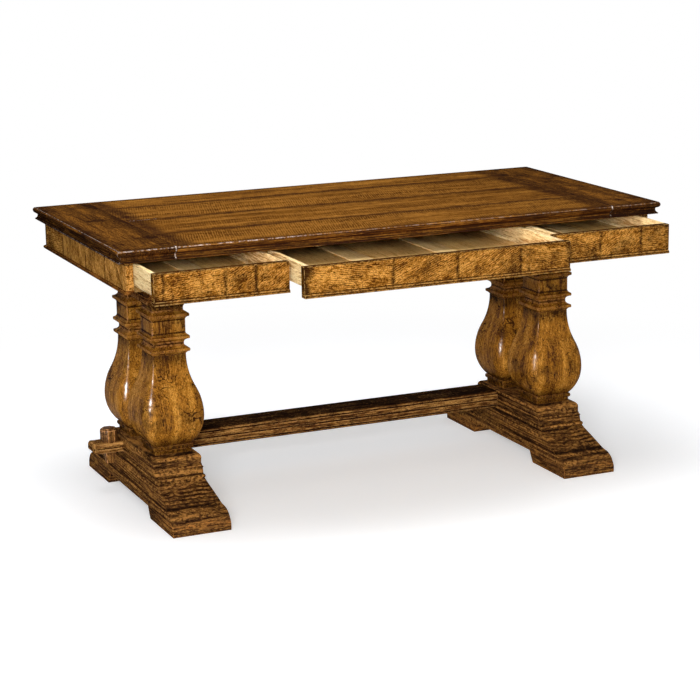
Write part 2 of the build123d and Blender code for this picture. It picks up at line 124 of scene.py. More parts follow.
# Widths of the rubbed arrises
BOARD_ARRIS = 0.0010
FRONT_ARRIS = 0.0009
CARCASS_ARRIS = 0.0008
SIDE_ARRIS = 0.0007
BEAD_ARRIS = 0.0006
PANEL_ARRIS = 0.0005
SLIP_ARRIS = 0.0004
BEAM_ARRIS = 0.0012
PEG_ARRIS = 0.0015
FOOT_ARRIS = 0.0002
PLINTH_ARRIS = 0.0013
RING_ARRIS = 0.0026
VASE_ARRIS = 0.0005
MERGE_DISTANCE = 0.00001
SAME_LEVEL = 0.000001
FLAT_ANGLE = math.radians(0.6)
SMOOTH_ANGLE = math.radians(34)

# The photograph's viewpoint: yaw, pitch and roll in degrees, lens and sensor in millimetres
VIEW_PLACE = (-2.3411, -5.15725, 1.7416)
VIEW_ANGLES = (24.043, 13.514, -0.779)
VIEW_LENS = 106.026
VIEW_SENSOR = 36

# The floor, which fades to white between two distances, and the white surround
FLOOR_SIZE = 80
FLOOR_LEVEL = -0.0002
FLOOR_FADE = (1.1, 2.4)
FLOOR_GLOW = 0.38
FLOOR_COLOUR = (0.79, 0.8, 0.82, 1)
SURROUND_LIGHT = 0.32

# Soft lamps: name, place, the point that they face, width, height and power
LAMPS = (
    ("Lamp above", (-0.4, -0.3, 3.4), (0, 0.1, 0.4), 2.4, 1.8, 84),
    ("Key lamp", (-3.2, -5.8, 2.3), (0, 0, 0.5), 2.0, 1.6, 380),
)
GLINT_STRIP = ("Glint strip", (-4.34, -2.95, 1.8), (-0.2, 0, 0.4), 0.9, 2.4, 3000)


def colour(code):
    """A linear colour with full alpha from a web code such as 'a8743a'."""
    shares = [int(code[k:k + 2], 16) / 255 for k in (0, 2, 4)]
    linear = [s / 12.92 if s <= 0.04045 else ((s + 0.055) / 1.055) ** 2.4 for s in shares]
    return (*linear, 1)


class Bench:
    """A node tree under the hand: adds nodes and joins them."""

    def __init__(self, tree):
        self.tree = tree

    def add(self, kind, settings=None, **sockets):
        """Adds a node; sockets are named by their labels, or n0, n1, n2 by their place."""
        node = self.tree.nodes.new("ShaderNode" + kind)
        for name, value in (settings or {}).items():
            setattr(node, name, value)
        for name, value in sockets.items():
            key = int(name[1:]) if name[0] == "n" and name[1:].isdigit() else name.replace("_", " ")
            self.feed(node.inputs[key], value)
        return node

    def feed(self, socket, value):
        """Joins an output to a socket, or sets the socket's own value."""
        if isinstance(value, bpy.types.NodeSocket):
            self.tree.links.new(value, socket)
        else:
            socket.default_value = value

    def sum(self, operation, a, b=0.0, c=0.0):
        """One step of arithmetic."""
        return self.add("Math", {"operation": operation}, n0=a, n1=b, n2=c).outputs[0]

    def fold(self, operation, values):
        """One operation carried through several values, from the left."""
        result = values[0]
        for value in values[1:]:
            result = self.sum(operation, result, value)
        return result

    def most(self, *values):
        """The greatest of several values."""
        return self.fold("MAXIMUM", values)

    def least(self, *values):
        """The smallest of several values."""
        return self.fold("MINIMUM", values)

    def times(self, *values):
        """The product of several values."""
        return self.fold("MULTIPLY", values)

    def above(self, value, level):
        """1 where the value is greater than a level, and 0 elsewhere."""
        return self.sum("GREATER_THAN", value, level)

    def below(self, value, level):
        """1 where the value is less than a level, and 0 elsewhere."""
        return self.sum("LESS_THAN", value, level)

    def away(self, value, place):
        """How far a value is from a place."""
        return self.sum("ABSOLUTE", self.sum("SUBTRACT", value, place))

    def vector(self, operation, a, b=(0, 0, 0)):
        """One step of vector arithmetic."""
        return self.add("VectorMath", {"operation": operation}, n0=a, n1=b).outputs[0]

    def ease(self, value, low, high, start=0.0, end=1.0):
        """Moves smoothly from start to end while the value goes from low to high."""
        return self.add(
            "MapRange", {"interpolation_type": "SMOOTHSTEP"},
            Value=value, From_Min=low, From_Max=high, To_Min=start, To_Max=end,
        ).outputs["Result"]

    def noise(self, vector, stretch, detail=2.0, roughness=0.5):
        """Cloudy noise from 0 to 1, with its own scale along each axis."""
        scaled = self.vector("MULTIPLY", vector, stretch)
        return self.add(
            "TexNoise", Vector=scaled, Scale=1.0, Detail=detail, Roughness=roughness
        ).outputs["Fac"]

    def blend(self, share, a, b):
        """Mixes two colours."""
        node = self.add("Mix", {"data_type": "RGBA", "clamp_factor": True})
        self.feed(node.inputs[0], share)
        self.feed(node.inputs[6], a)
        self.feed(node.inputs[7], b)
        return node.outputs[2]

    def turn(self, vector, angles):
        """Turns a pattern on a piece."""
        return self.add(
            "Mapping", {"vector_type": "POINT"}, Vector=vector, Rotation=angles
        ).outputs[0]

    def parts(self, vector):
        """The three coordinates of a vector."""
        return self.add("SeparateXYZ", Vector=vector).outputs

    def point(self, x, y, z):
        """A vector from three values."""
        return self.add("CombineXYZ", X=x, Y=y, Z=z).outputs[0]

    def group(self, tree, **sockets):
        """Places a shared group with its own values."""
        node = self.tree.nodes.new("ShaderNodeGroup")
        node.node_tree = tree
        for name, value in sockets.items():
            self.feed(node.inputs[name.replace("_", " ")], value)
        return node.outputs


def new_group(name, inputs, outputs):
    """An empty shared group: inputs are (label, kind, value) and outputs (label, kind)."""
    tree = bpy.data.node_groups.new(name, "ShaderNodeTree")
    kinds = {"value": "NodeSocketFloat", "vector": "NodeSocketVector", "colour": "NodeSocketColor"}
    for label, kind, value in inputs:
        socket = tree.interface.new_socket(label, in_out="INPUT", socket_type=kinds[kind])
        socket.default_value = value
    for label, kind in outputs:
        tree.interface.new_socket(label, in_out="OUTPUT", socket_type=kinds[kind])
    given = tree.nodes.new("NodeGroupInput").outputs
    result = tree.nodes.new("NodeGroupOutput").inputs
    return Bench(tree), given, result


RAY_PITCH = 0.0068


def oak_timber():
    """Oak along the vector's X: broad bands, growth lines, fibres, pores and slanted ray figure."""
    bench, given, result = new_group(
        "Oak timber",
        [
            ("Vector", "vector", (0, 0, 0)),
            ("Seed", "value", 0),
            ("Pale", "colour", (1, 1, 1, 1)),
            ("Mid", "colour", (1, 1, 1, 1)),
            ("Dark", "colour", (1, 1, 1, 1)),
            ("Ray", "value", 0),
            ("Slant", "value", 1.1),
            ("Streak", "value", 1),
        ],
        [("Color", "colour"), ("Height", "value")],
    )
    spread = bench.vector("SCALE", (7.3, 3.7, 5.1))
    bench.feed(spread.node.inputs["Scale"], given["Seed"])
    place = bench.vector("ADD", given["Vector"], spread)
    drift = bench.sum("SUBTRACT", bench.noise(place, (3, 9, 9)), 0.5)
    drift = bench.times(drift, 0.03)
    bent = bench.vector("ADD", place, bench.point(0.0, drift, drift))
    broad = bench.noise(bent, (3, 30, 30), 3, 0.6)
    lines = bench.noise(bent, (13, 230, 230), 3, 0.65)
    fibres = bench.noise(bent, (50, 480, 480), 2, 0.6)
    pores = bench.ease(bench.noise(bent, (90, 640, 640), 1), 0.56, 0.64)
    lines = bench.sum("MULTIPLY_ADD", bench.sum("SUBTRACT", lines, 0.5), given["Streak"], 0.5)
    tone = bench.sum("MULTIPLY_ADD", broad, 0.34, bench.times(lines, 0.38))
    tone = bench.sum("MULTIPLY_ADD", fibres, 0.28, tone)
    wood = bench.blend(bench.ease(tone, 0.42, 0.50), given["Dark"], given["Mid"])
    wood = bench.blend(bench.ease(tone, 0.50, 0.58), wood, given["Pale"])
    across = bench.turn(place, bench.point(0.0, 0.0, given["Slant"]))
    waver = bench.times(bench.noise(place, (14, 8, 8), 2, 0.5), 9)
    turns = 2 * math.pi / RAY_PITCH
    phase = bench.sum("MULTIPLY_ADD", bench.parts(across)[1], turns, waver)
    hatch = bench.sum("MULTIPLY_ADD", bench.sum("SINE", phase), 0.085, 0.25)
    strokes = bench.sum("MULTIPLY_ADD", bench.noise(across, (26, 150, 150), 2, 0.6), 0.5, hatch)
    zones = bench.ease(bench.noise(place, (5, 15, 15), 2), 0.34, 0.52)
    figure = bench.times(zones, given["Ray"])
    light = bench.times(bench.ease(strokes, 0.50, 0.58), figure)
    shade = bench.times(bench.ease(strokes, 0.48, 0.40), figure)
    wood = bench.blend(bench.times(light, 0.65), wood, given["Pale"])
    wood = bench.blend(bench.times(shade, 0.5), wood, given["Dark"])
    wood = bench.blend(bench.times(pores, 0.55), wood, given["Dark"])
    height = bench.sum("MULTIPLY_ADD", lines, 0.5, bench.times(fibres, 0.4))
    height = bench.sum("MULTIPLY_ADD", pores, -0.6, height)
    bench.feed(result["Color"], wood)
    bench.feed(result["Height"], height)
    return bench.tree


def old_polish():
    """Darkens with wax in clouds, in specks and by the Hollow mask, which also carries painted
    shade; pales by the Rubbed mask, which also carries painted highlights.
    """
    bench, given, result = new_group(
        "Old polish",
        [
            ("Color", "colour", (1, 1, 1, 1)),
            ("Vector", "vector", (0, 0, 0)),
            ("Hollow", "value", 0),
            ("Rubbed", "value", 0),
            ("Mottle", "value", 0.5),
            ("Wax", "colour", (0.02, 0.01, 0.005, 1)),
            ("Rub", "colour", (0.6, 0.35, 0.14, 1)),
        ],
        [("Color", "colour"), ("Shine", "value"), ("Gloss", "value"), ("Height", "value")],
    )
    vector = given["Vector"]
    cloud = bench.noise(vector, (13, 13, 13), 4, 0.65)
    grit = bench.noise(vector, (120, 120, 120), 3, 0.6)
    specks = bench.ease(bench.noise(vector, (75, 75, 75), 2), 0.60, 0.70)
    pepper = bench.ease(bench.noise(vector, (290, 290, 290), 2, 0.6), 0.54, 0.64)
    stain = bench.times(bench.ease(cloud, 0.50, 0.72), given["Mottle"])
    stain = bench.sum("MULTIPLY_ADD", bench.times(specks, given["Mottle"]), 0.6, stain)
    stain = bench.sum("MULTIPLY_ADD", bench.times(pepper, given["Mottle"]), 0.8, stain)
    deep = bench.times(given["Hollow"], bench.ease(grit, 0.25, 0.60, 0.65, 1.15))
    stain = bench.least(bench.sum("ADD", stain, deep), 0.94)
    bare = bench.times(given["Rubbed"], bench.ease(grit, 0.40, 0.62))
    tinted = bench.blend(stain, given["Color"], given["Wax"])
    tinted = bench.blend(bare, tinted, given["Rub"])
    shine = bench.sum("MULTIPLY_ADD", cloud, 0.2, 0.04)
    shine = bench.sum("MULTIPLY_ADD", grit, 0.12, shine)
    shine = bench.sum("MULTIPLY_ADD", stain, 0.10, shine)
    gloss = bench.ease(bench.noise(vector, (130, 130, 70), 3, 0.65), 0.42, 0.58, 0.15, 1.0)
    gloss = bench.times(gloss, bench.sum("SUBTRACT", 1.0, bench.times(stain, 0.8)))
    height = bench.sum("MULTIPLY_ADD", specks, -0.6, bench.times(grit, 0.5))
    bench.feed(result["Color"], tinted)
    bench.feed(result["Shine"], shine)
    bench.feed(result["Gloss"], gloss)
    bench.feed(result["Height"], height)
    return bench.tree


def old_knocks():
    """Worm holes and short wandering scratches, as a mask and as depth."""
    bench, given, result = new_group(
        "Old knocks",
        [("Vector", "vector", (0, 0, 0)), ("Holes", "value", 0.5), ("Scratches", "value", 0.5)],
        [("Mark", "value"), ("Height", "value")],
    )
    cells = bench.add("TexVoronoi", Vector=given["Vector"], Scale=42.0, Randomness=1.0)
    chosen = bench.below(bench.parts(cells.outputs["Color"])[0], 0.35)
    hole = bench.ease(cells.outputs["Distance"], 0.07, 0.12, 1.0, 0.0)
    hole = bench.times(bench.times(hole, chosen), given["Holes"])
    field = bench.noise(given["Vector"], (20, 20, 26), 2, 0.45)
    line = bench.ease(bench.away(field, 0.5), 0.005, 0.017, 1.0, 0.0)
    elsewhere = bench.vector("ADD", given["Vector"], (4.1, 1.3, 2.2))
    here = bench.ease(bench.noise(elsewhere, (11, 11, 11)), 0.54, 0.60)
    scratch = bench.times(bench.times(line, here), given["Scratches"])
    mark = bench.most(hole, scratch)
    bench.feed(result["Mark"], mark)
    bench.feed(result["Height"], bench.times(mark, -1.0))
    return bench.tree


OAK_TIMBER = oak_timber()
OLD_POLISH = old_polish()
OLD_KNOCKS = old_knocks()


def with_grain(bench, axis):
    """Object coordinates with the grain's axis first."""
    vector = bench.add("TexCoord").outputs["Object"]
    x, y, z = bench.parts(vector)
    order = {"X": (x, y, z), "Y": (y, x, z), "Z": (z, x, y)}[axis]
    return vector, bench.point(*order)


ARRIS_WEAR = 0.75
COAT_ROUGHNESS = 0.26
BUMP_STRENGTH = 0.6
# Near-white wood of the top's rubbed arrises, and the colour of the top's painted highlights
PALE_RUB_AND_HIGHLIGHT = "e6d4c6"


def polished(name, recipe, coat=0.0, specular=0.0, depth=0.0006):
    """Two materials, one for faces and one for rubbed arrises.

    The recipe returns colour, roughness, gloss and height.
    """
    pair = []
    for label, rubbed in ((name, 0.0), (name + " arris", ARRIS_WEAR)):
        material = bpy.data.materials.new(label)
        material.use_nodes = True
        bench = Bench(material.node_tree)
        tint, shine, gloss, height = recipe(bench, rubbed)
        shader = material.node_tree.nodes["Principled BSDF"]
        bench.feed(shader.inputs["Base Color"], tint)
        bench.feed(shader.inputs["Roughness"], shine)
        shader.inputs["Specular IOR Level"].default_value = specular
        if coat:
            bench.feed(shader.inputs["Coat Weight"], bench.times(gloss, coat))
            shader.inputs["Coat Roughness"].default_value = COAT_ROUGHNESS
        bump = bench.add("Bump", Strength=BUMP_STRENGTH, Distance=depth, Height=height)
        bench.feed(shader.inputs["Normal"], bump.outputs["Normal"])
        pair.append(material)
    return pair


def levels_mask(bench, value, levels, reach):
    """1 at each of the given levels, falling to 0 at the reach on both sides."""
    mask = 0.0
    for level in levels:
        mask = bench.most(mask, bench.ease(bench.away(value, level), 0.0, reach, 1.0, 0.0))
    return mask


def timber_recipe(axis, tones, seed=0.0, ray=0.0, slant=1.1, mottle=0.5, hollow=None,
                  holes=0.0, scratches=0.0, streak=1.0, rub="c98a44", wear_and_highlights=None, layers=0.0):
    """Oak with its wax: tones are pale, mid, dark and wax.

    Hollow is a mask of dark wax, with painted shade where grooves and coves are darkened, and the
    pale mask one of bare wood, with painted highlights where the caller paints them.
    Layers are the level ridges that age leaves in the end grain of the feet, with painted shade in
    their grooves and, with wear, painted highlights on their crests.
    """
    pale, mid, dark, wax = [colour(code) for code in tones]

    def recipe(bench, rubbed):
        vector, grain = with_grain(bench, axis)
        if layers:
            grain = bench.vector("MULTIPLY", grain, (1.6, 0.25, 0.9))
        figure = ray(bench, vector) if callable(ray) else ray
        wood = bench.group(
            OAK_TIMBER, Vector=grain, Seed=seed, Pale=pale, Mid=mid, Dark=dark, Ray=figure,
            Slant=slant, Streak=streak,
        )
        deep = hollow(bench, vector) if hollow else 0.0
        if wear_and_highlights:
            rubbed = wear_and_highlights(bench, vector, rubbed)
        knocks = bench.group(OLD_KNOCKS, Vector=vector, Holes=holes, Scratches=scratches)
        deep = bench.most(deep, knocks["Mark"])
        # Painted shade in the layers' grooves beside dark cracks, and painted highlights with wear
        # on their crests
        if layers:
            field = bench.noise(vector, (12, 3, 200), 3, 0.55)
            crack = bench.ease(bench.away(field, 0.5), 0.004, 0.020, layers, 0.0)
            ledge = bench.noise(vector, (7, 2, 85), 2, 0.5)
            groove = bench.ease(bench.away(ledge, 0.47), 0.008, 0.045, layers, 0.0)
            deep = bench.most(deep, crack, groove)
            crest = bench.most(
                bench.ease(field, 0.53, 0.61, 0.0, 0.5), bench.ease(ledge, 0.55, 0.63, 0.0, 0.8)
            )
            rubbed = bench.most(rubbed, bench.times(crest, layers))
        wax_coat = bench.group(
            OLD_POLISH, Color=wood["Color"], Vector=vector, Hollow=deep, Rubbed=rubbed,
            Mottle=mottle, Wax=wax, Rub=colour(rub),
        )
        height = bench.sum("ADD", wood["Height"], wax_coat["Height"])
        height = bench.sum("MULTIPLY_ADD", knocks["Height"], 2.0, height)
        if layers:
            height = bench.sum("MULTIPLY_ADD", field, 1.2, height)
            height = bench.sum("MULTIPLY_ADD", crack, -1.0, height)
            height = bench.sum("MULTIPLY_ADD", groove, -1.6, height)
        return wax_coat["Color"], wax_coat["Shine"], wax_coat["Gloss"], height

    return recipe


def clear_selection():
    """Leaves nothing selected, so an operator acts on the next piece alone."""
    if bpy.context.object is not None and bpy.context.object.mode != "OBJECT":
        bpy.ops.object.mode_set(mode="OBJECT")
    bpy.ops.object.select_all(action="DESELECT")


def take(piece):
    """Makes one piece the only selected one."""
    clear_selection()
    bpy.context.view_layer.objects.active = piece
    piece.select_set(True)


def finish_modifiers(piece):
    """Applies a piece's modifiers in their order."""
    take(piece)
    for name in [modifier.name for modifier in piece.modifiers]:
        bpy.ops.object.modifier_apply(modifier=name)


def pick(piece, kind, test):
    """Selects the vertices, edges or faces that pass a test, in edit mode."""
    kinds = ("vertices", "edges", "polygons")
    bpy.context.scene.tool_settings.mesh_select_mode = [each == kind for each in kinds]
    bpy.ops.object.mode_set(mode="EDIT")
    bpy.ops.mesh.select_all(action="DESELECT")
    bpy.ops.object.mode_set(mode="OBJECT")
    for item in getattr(piece.data, kind):
        item.select = test(item)
    bpy.ops.object.mode_set(mode="EDIT")


def rub_arrises(piece, finish, width, segments=2, angle=28):
    """Rounds the arrises with a bevel, whose faces take the finish's second, rubbed material."""
    piece.data.materials.clear()
    for material in finish:
        piece.data.materials.append(material)
    bevel = piece.modifiers.new("Rubbed arrises", "BEVEL")
    bevel.width = width
    bevel.segments = segments
    bevel.limit_method = "ANGLE"
    bevel.angle_limit = math.radians(angle)
    bevel.use_clamp_overlap = False
    bevel.material = 1
    finish_modifiers(piece)


def soften(node_name, finish, width):
    """Puts a copy of a CAD node's mesh in its place, with its arrises rubbed round."""
    node = frame["nodes"][node_name]
    take(node)
    piece = node.copy()
    piece.data = node.data.copy()
    for key in list(piece.keys()):
        if key.startswith("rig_"):
            del piece[key]
    piece.name = node_name + "_wood"
    bpy.context.scene.collection.objects.link(piece)
    piece.parent = None
    take(piece)
    bpy.ops.object.mode_set(mode="EDIT")
    bpy.ops.mesh.select_all(action="SELECT")
    bpy.ops.mesh.remove_doubles(threshold=MERGE_DISTANCE)
    bpy.ops.mesh.dissolve_limited(angle_limit=FLAT_ANGLE)
    bpy.ops.mesh.customdata_custom_splitnormals_clear()
    bpy.ops.object.mode_set(mode="OBJECT")
    rub_arrises(piece, finish, width)
    bpy.ops.object.shade_smooth_by_angle(angle=SMOOTH_ANGLE)
    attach(piece, node["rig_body"])
    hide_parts(node_name)


def arc_points(start, end, swell, count):
    """Points of a circle arc from start to end, bulging outwards by a swell, start left out."""
    start, end = Vector(start), Vector(end)
    chord = end - start
    side = Vector((chord.y, -chord.x)).normalized()
    radius = (chord.length / 2) ** 2 / (2 * abs(swell)) + abs(swell) / 2
    middle = (start + end) / 2
    centre = middle - side * math.copysign(radius - abs(swell), swell)
    first = math.atan2(*(start - centre).yx)
    last = math.atan2(*(end - centre).yx)
    turn = (last - first + math.pi) % (2 * math.pi) - math.pi
    points = []
    for step in range(1, count + 1):
        angle = first + turn * step / count
        points.append((centre.x + radius * math.cos(angle), centre.y + radius * math.sin(angle)))
    return points


def upright_swell(start, end):
    """Swell of the arc that joins two (half width, level) points and is upright at one of them."""
    width, rise = abs(end[0] - start[0]), end[1] - start[1]
    return math.hypot(width, rise) / 2 * math.tan(math.atan2(width, rise) / 2)


def square_stack(name, levels):
    """A post of square plan, drawn up level by level: each level is (half width, height)."""
    clear_selection()
    half, height = levels[0]
    bpy.ops.mesh.primitive_plane_add(size=2 * half, location=(0, 0, height))
    post = bpy.context.object
    post.name = name
    bpy.ops.object.transform_apply(location=True, rotation=True, scale=True)
    bpy.ops.object.mode_set(mode="EDIT")
    bpy.ops.mesh.select_all(action="SELECT")
    for next_half, next_height in levels[1:]:
        share = next_half / half
        bpy.ops.mesh.extrude_region_move(
            TRANSFORM_OT_translate={"value": (0, 0, next_height - height)}
        )
        bpy.ops.transform.resize(
            value=(share, share, 1), center_override=(0, 0, next_height)
        )
        half, height = next_half, next_height
    bpy.ops.mesh.select_all(action="SELECT")
    bpy.ops.mesh.normals_make_consistent(inside=False)
    bpy.ops.object.mode_set(mode="OBJECT")
    return post


def vase_levels():
    """Half widths of the vase going up, as swept by three arcs."""
    rise = VASE_TOP - VASE_FOOT
    base = (BASE_HALF, VASE_FOOT)
    belly = (BELLY_HALF, VASE_FOOT + BELLY_SHARE * rise)
    neck = (NECK_HALF, VASE_TOP)
    turn = tuple(belly[k] + TURN_SHARE * (neck[k] - belly[k]) for k in range(2))
    points = [base]
    points += arc_points(base, belly, upright_swell(base, belly), BASE_STEPS)
    points += arc_points(belly, turn, upright_swell(belly, turn), SIDE_STEPS)
    points += arc_points(turn, neck, -upright_swell(turn, neck), SIDE_STEPS)
    return points


def ring_levels():
    """Half widths of the rings, neck, block and cap above the vase, going up."""
    recess, block, ring, cap, lip = 0.044, 0.048, 0.057, 0.062, 0.067
    cove, edge, scoop = 0.009, 0.0075, 0.0018
    steps = [
        (NECK_HALF, 0, 0),
        (ring, cove, scoop), (ring, edge, 0), (recess, cove, scoop), (recess, cove, 0),
        (ring, cove, scoop), (ring, edge, 0), (block, cove, scoop), (block, 0.036, 0),
        (ring, cove, scoop), (ring, edge, 0), (recess, cove, scoop), (recess, 0.005, 0),
        (cap, 0.018, 0.005), (lip, 0.0065, 0), (lip, 0.0065, 0),
    ]
    points = []
    level = VASE_TOP
    for half, rise, hollow in steps:
        last = points[-1] if points else (half, level)
        level += rise
        if hollow:
            points += arc_points(last, (half, level), -hollow, COVE_STEPS)
        else:
            points.append((half, level))
    return points


def plinth_levels():
    """Half widths of the plinth and the round bead that the vase stands on, going up."""
    sunk, bead, step = 0.052, 0.055, 0.178
    points = [(sunk, FOOT_TOP), (sunk, step), (bead, step)]
    points += arc_points((bead, step), (bead, VASE_FOOT), 0.002, BEAD_STEPS)
    return points


def corner_round(half):
    """Radius of the vase's corner at a half width: near sharp at the neck, round at the belly."""
    return NECK_ROUND + ROUND_SHARE * (half - NECK_HALF)


def turned_vase():
    """The square vase with round corners: one corner is spun, set out, and copied to the others."""
    levels = vase_levels()
    clear_selection()
    half, height = levels[0]
    bpy.ops.mesh.primitive_plane_add(size=0.01, location=(0, 0, 0))
    vase = bpy.context.object
    vase.name = "vase"
    bpy.ops.object.mode_set(mode="EDIT")
    bpy.ops.mesh.select_all(action="SELECT")
    bpy.ops.mesh.merge(type="CENTER")
    bpy.ops.transform.translate(value=(corner_round(half), 0, height))
    for next_half, next_height in levels[1:]:
        reach = corner_round(next_half) - corner_round(half)
        bpy.ops.mesh.extrude_vertices_move(
            TRANSFORM_OT_translate={"value": (reach, 0, next_height - height)}
        )
        half, height = next_half, next_height
    bpy.ops.mesh.select_all(action="SELECT")
    bpy.ops.mesh.spin(steps=CORNER_STEPS, angle=SPIN, center=(0, 0, 0), axis=(0, 0, 1))
    bpy.ops.object.mode_set(mode="OBJECT")
    for half, height in levels:
        out = half - corner_round(half)
        pick(vase, "vertices", lambda vertex: abs(vertex.co.z - height) < SAME_LEVEL)
        bpy.ops.transform.translate(value=(out, out, 0))
        bpy.ops.object.mode_set(mode="OBJECT")
    flats = {round(height, 5): half - corner_round(half) for half, height in levels}
    for axis in (0, 1):
        mirror = vase.modifiers.new("Other side", "MIRROR")
        mirror.use_axis = (axis == 0, axis == 1, False)
        mirror.use_mirror_merge = False
    finish_modifiers(vase)
    for side in range(4):
        def on_side(edge):
            ends = [vase.data.vertices[k].co for k in edge.vertices]
            along, across = (0, 1) if side % 2 == 0 else (1, 0)
            sign = 1 if side < 2 else -1
            return all(
                abs(abs(end[across]) - flats[round(end.z, 5)]) < MERGE_DISTANCE
                and sign * end[along] > flats[round(end.z, 5)] + 0.0001
                for end in ends
            )
        pick(vase, "edges", on_side)
        bpy.ops.mesh.bridge_edge_loops()
    for level in (VASE_FOOT, VASE_TOP):
        pick(vase, "edges", lambda edge: all(
            abs(vase.data.vertices[k].co.z - level) < SAME_LEVEL for k in edge.vertices
        ))
        bpy.ops.mesh.edge_face_add()
    bpy.ops.mesh.select_all(action="SELECT")
    bpy.ops.mesh.remove_doubles(threshold=MERGE_DISTANCE)
    bpy.ops.mesh.normals_make_consistent(inside=False)
    bpy.ops.object.mode_set(mode="OBJECT")
    return vase


def build_balusters(finish):
    """Models one baluster from plinth to cap and sets four copies of it on the feet."""
    plinth = square_stack("plinth", plinth_levels())
    rings = square_stack("rings", ring_levels())
    vase = turned_vase()
    for post, width in ((plinth, PLINTH_ARRIS), (rings, RING_ARRIS), (vase, VASE_ARRIS)):
        rub_arrises(post, finish, width, segments=3, angle=34)
    clear_selection()
    for post in (plinth, vase, rings):
        post.select_set(True)
    bpy.context.view_layer.objects.active = rings
    bpy.ops.object.join()
    pattern = bpy.context.object
    bpy.ops.object.shade_smooth_by_angle(angle=SMOOTH_ANGLE)
    for end, side_x in (("left", -1), ("right", 1)):
        for place, side_y in (("front", -1), ("back", 1)):
            baluster = pattern.copy()
            baluster.data = pattern.data.copy()
            baluster.name = "baluster_%s_%s" % (place, end)
            bpy.context.scene.collection.objects.link(baluster)
            x, y = side_x * COLUMN_X, side_y * COLUMN_Y + DESK_MIDDLE_Y
            take(baluster)
            quarter = {(-1, -1): 0, (1, -1): 1, (1, 1): 2, (-1, 1): 3}[(side_x, side_y)]
            baluster.data.transform(Matrix.Rotation(quarter * math.pi / 2, 4, "Z"))
            baluster.data.transform(Matrix.Translation((x, y, 0)))
            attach(baluster, "desk_frame")
            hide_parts("column_%s_%s" % (place, end))
    bpy.data.objects.remove(pattern)


def aim_camera():
    """Sets the camera at the photograph's place and turns it by yaw, pitch and roll."""
    camera_data = bpy.data.cameras.new("Viewpoint")
    camera = bpy.data.objects.new("Viewpoint", camera_data)
    bpy.context.scene.collection.objects.link(camera)
    camera_data.sensor_width = VIEW_SENSOR
    camera_data.lens = VIEW_LENS
    yaw, pitch, roll = (math.radians(angle) for angle in VIEW_ANGLES)
    forward = Vector((
        math.sin(yaw) * math.cos(pitch), math.cos(yaw) * math.cos(pitch), -math.sin(pitch)
    ))
    right = Vector((math.cos(yaw), -math.sin(yaw), 0))
    up = right.cross(forward)
    rolled_right = right * math.cos(roll) + up * math.sin(roll)
    rolled_up = up * math.cos(roll) - right * math.sin(roll)
    turn = Matrix((rolled_right, rolled_up, -forward)).transposed().to_4x4()
    camera.matrix_world = Matrix.Translation(VIEW_PLACE) @ turn
    bpy.context.scene.camera = camera


def lay_floor():
    """A pale floor that keeps the desk's soft shadow and turns white away from it."""
    clear_selection()
    bpy.ops.mesh.primitive_plane_add(size=FLOOR_SIZE, location=(0, 0, FLOOR_LEVEL))
    floor = bpy.context.object
    floor.name = "floor"
    material = bpy.data.materials.new("Studio floor")
    material.use_nodes = True
    bench = Bench(material.node_tree)
    shader = material.node_tree.nodes["Principled BSDF"]
    place = bench.add("TexCoord").outputs["Object"]
    away = bench.add("VectorMath", {"operation": "LENGTH"}, n0=place).outputs["Value"]
    far = bench.ease(away, *FLOOR_FADE)
    seen = seen_directly(bench)
    bench.feed(shader.inputs["Base Color"], bench.blend(far, FLOOR_COLOUR, (0, 0, 0, 1)))
    shader.inputs["Roughness"].default_value = 0.9
    shader.inputs["Specular IOR Level"].default_value = 0.0
    shader.inputs["Emission Color"].default_value = (1, 1, 1, 1)
    glow = bench.sum("MULTIPLY_ADD", far, 1 - FLOOR_GLOW, FLOOR_GLOW)
    bench.feed(shader.inputs["Emission Strength"], bench.times(glow, seen))
    floor.data.materials.append(material)


def seen_directly(bench):
    """1 for what the camera sees, also by reflection or through glass, and 0 for other light."""
    path = bench.add("LightPath").outputs
    seen = bench.most(path["Is Camera Ray"], path["Is Glossy Ray"])
    return bench.most(seen, path["Is Transmission Ray"])


def add_lamp(name, place, target, width, height, power):
    """A rectangular soft lamp that faces a point of the desk and makes no reflection."""
    lamp_data = bpy.data.lights.new(name, "AREA")
    lamp_data.shape = "RECTANGLE"
    lamp_data.size = width
    lamp_data.size_y = height
    lamp_data.energy = power
    lamp = bpy.data.objects.new(name, lamp_data)
    bpy.context.scene.collection.objects.link(lamp)
    lamp.location = place
    lamp.rotation_mode = "QUATERNION"
    lamp.rotation_quaternion = (Vector(target) - Vector(place)).to_track_quat("-Z", "Y")
    lamp.visible_glossy = False
    return lamp


def light_studio():
    """A white surround, soft lamps above and in front, and a strip that only the polish mirrors."""
    world = bpy.data.worlds.new("Surround")
    world.use_nodes = True
    bpy.context.scene.world = world
    bench = Bench(world.node_tree)
    back = world.node_tree.nodes["Background"]
    back.inputs["Color"].default_value = (1, 1, 1, 1)
    seen = seen_directly(bench)
    strength = bench.sum("MULTIPLY_ADD", seen, 1 - SURROUND_LIGHT, SURROUND_LIGHT)
    bench.feed(back.inputs["Strength"], strength)
    for lamp in LAMPS:
        add_lamp(*lamp)
    glint = add_lamp(*GLINT_STRIP)
    glint.visible_diffuse = False
    glint.visible_glossy = True


